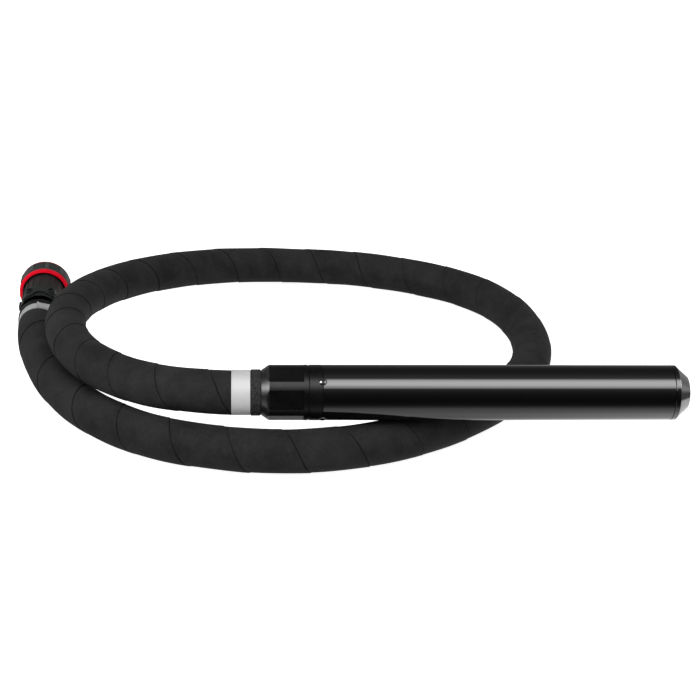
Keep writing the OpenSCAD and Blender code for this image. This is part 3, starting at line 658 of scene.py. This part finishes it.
def make_world():
    """The studio in reflections, white behind the object, soft even light for the rest."""
    world = bpy.data.worlds.new("studio")
    world.use_nodes = True
    world.cycles.sampling_method = "NONE"
    bpy.context.scene.world = world
    n = Nodes(world.node_tree)
    x, y, z = n.split(n.node("ShaderNodeTexCoord").outputs["Generated"])
    turn = n.math("ARCTAN2", z, n.math("MULTIPLY", y, -1.0))
    stops = [((degrees + 180) / 360, radiance / STUDIO_PEAK) for degrees, radiance in STUDIO]
    around = n.ramp(n.remap(turn, -math.pi, math.pi), stops)
    # The table is brighter below the nose's end and behind it
    table = n.math("MULTIPLY", n.remap(x, 0.14, 0.29, 0.0, 2.6), n.remap(z, -0.15, -0.35))
    table = n.math("MULTIPLY", table, n.remap(y, -0.7, 0.8))
    around = n.math("MULTIPLY", around, n.math("ADD", table, 1.0))
    # Off the head's front end the ring gives way to the cards beside it
    card = n.ramp(n.remap(z, -1, 1), EAST_SIDE)
    east = n.remap(x, 0.60, 0.86)
    ringed = n.math("MULTIPLY", around, n.math("SUBTRACT", 1.0, east))
    reflected = n.math("ADD", ringed, n.math("MULTIPLY", card, east))
    reflected = n.math("MULTIPLY", reflected, STUDIO_PEAK)
    # Shading light: more from the lit table and from the front
    spread = n.math("MULTIPLY", n.remap(z, -0.5, 0.5, 0.66, 0.34),
                    n.remap(y, -0.8, 0.8, 1.08, 0.78))
    path = n.node("ShaderNodeLightPath")
    level = 1.0
    for flag, value in (("Is Diffuse Ray", spread), ("Is Glossy Ray", reflected)):
        pick = n.node("ShaderNodeMix", data_type="FLOAT")
        n.link(path.outputs[flag], pick.inputs[0])
        n.link(level, pick.inputs[2])
        n.link(value, pick.inputs[3])
        level = pick.outputs[0]
    n.link(level, n.tree.nodes["Background"].inputs["Strength"])
    n.link((1.0, 1.0, 1.0), n.tree.nodes["Background"].inputs["Color"])


def make_lights():
    """A long soft box over the camera, and a card on the left of it."""
    middle = Vector((-0.65, 0.0, 0.0))
    height = math.radians(58)
    reach = 1.3
    key = middle + Vector((0, -math.cos(height), math.sin(height))) * reach
    area_light("key_box", key, middle, (1.6, 0.9), 3.6)
    bend = Vector((-0.40, 0.10, -0.03))
    area_light("left_card", bend + Vector((-1.0, -0.8, 0.15)), bend, (0.8, 0.5), 1.8)


# ---------------------------------------------------------------- scene

make_camera()
hose_finish = hose_rubber()
hose, hose_spine = make_hose(hose_finish)

FINISHES = {
    "hose_rubber": hose_finish,
    "head_steel": gloss_black(),
    "nose_steel": nose_finish(),
    "collar_steel": satin_black("collar_black"),
    "cap_steel": satin_black("cap_black", worn_chamfer=True),
    "stainless": screw_finish(),
    "zinc_steel": steel("zinc_steel", (0.55, 0.55, 0.57), 0.35),
    "cuff_rubber": speckled_rubber(),
    "band_aluminium": dull_metal("band_metal", (0.575, 0.575, 0.575), 0.62, 0.12),
    "clamp_steel": dull_metal("clamp_metal", (0.46, 0.46, 0.465), 0.55, 0.2),
    "plug_plastic": plug_finish(),
    "nut_plastic": nut_finish(),
    "red_plastic": plain_plastic("red_plastic", (0.78, 0.004, 0.020), 0.5, 800, 0.1),
    "red_rubber": plain_plastic("red_rubber", (0.42, 0.006, 0.012), 0.55, 1200, 0.15),
    "seal_rubber": plain_plastic("seal_rubber", (0.012, 0.012, 0.012), 0.5, 1800),
    "housing_steel": steel("housing_steel", (0.42, 0.42, 0.43), 0.32),
    "bearing_steel": steel("bearing_steel", (0.62, 0.62, 0.63), 0.14),
    "bearing_balls": steel("ball_steel", (0.75, 0.75, 0.76), 0.06, (1, 1, 1), 300),
    "cage_brass": steel("cage_brass", (0.66, 0.46, 0.17), 0.28, (1, 1, 1)),
    "spring_steel": steel("spring_steel", (0.24, 0.25, 0.28), 0.3, (1, 1, 1)),
    "lamination_steel": stacked_steel(),
    "copper_winding": wound_copper(),
    "spacer_aluminium": steel("spacer_aluminium", (0.72, 0.73, 0.74), 0.36),
    "thermal_plastic": plain_plastic("thermal_plastic", (0.42, 0.36, 0.22), 0.5),
    "terminal_plastic": plain_plastic("terminal_plastic", (0.30, 0.05, 0.02), 0.45),
    "lead_insulation": plain_plastic("lead_insulation", (0.55, 0.30, 0.02), 0.4),
    "gland_brass": steel("gland_brass", (0.60, 0.42, 0.16), 0.3),
    "shaft_steel": steel("shaft_steel", (0.48, 0.48, 0.49), 0.22),
    "rotor_aluminium": steel("rotor_aluminium", (0.66, 0.67, 0.68), 0.4, (1, 1, 1)),
    "weight_iron": cast_iron(),
    "cable_rubber": plain_plastic("cable_rubber", (0.010, 0.010, 0.010), 0.6, 1500),
    # The screw steel is painted dark: painted shade of the saddle's deep recesses that the
    # clamp screws sit in
    "screw_steel": steel("screw_steel", (0.09, 0.09, 0.092), 0.2, (1, 1, 1), 500),
    "insert_plastic": plain_plastic("insert_plastic", (0.028, 0.028, 0.029), 0.5),
    "contact_brass": steel("contact_brass", (0.72, 0.53, 0.24), 0.2, (1, 1, 1)),
}

# Widths of the broken edges, in millimetres, on the pieces that show
EDGES = {
    "rear_cap": 0.3, "lock_collar": 0.2, "nose_cap": 0.3, "lock_screws": 0.15,
    "band_clamp": 0.15, "band_buckle": 0.3, "plug_shell": 0.2, "clamp_saddle": 0.6,
    "clamp_screws": 0.2, "coupling_nut": 0.15, "red_ring": 0.3,
}

slots = {part["node"]: part["material_slot"] for part in frame["record"]["subparts"]}
for name, node in NODES.items():
    node.data.materials.clear()
    node.data.materials.append(FINISHES[slots[name]])
for name, width in EDGES.items():
    bevel = NODES[name].modifiers.new("broken_edge", "BEVEL")
    bevel.limit_method = "ANGLE"
    bevel.angle_limit = math.radians(32)
    bevel.width = width * MM
    bevel.segments = 3
    bevel.harden_normals = True

make_floor()
make_world()
make_lights()
bpy.context.scene.view_settings.view_transform = "Standard"
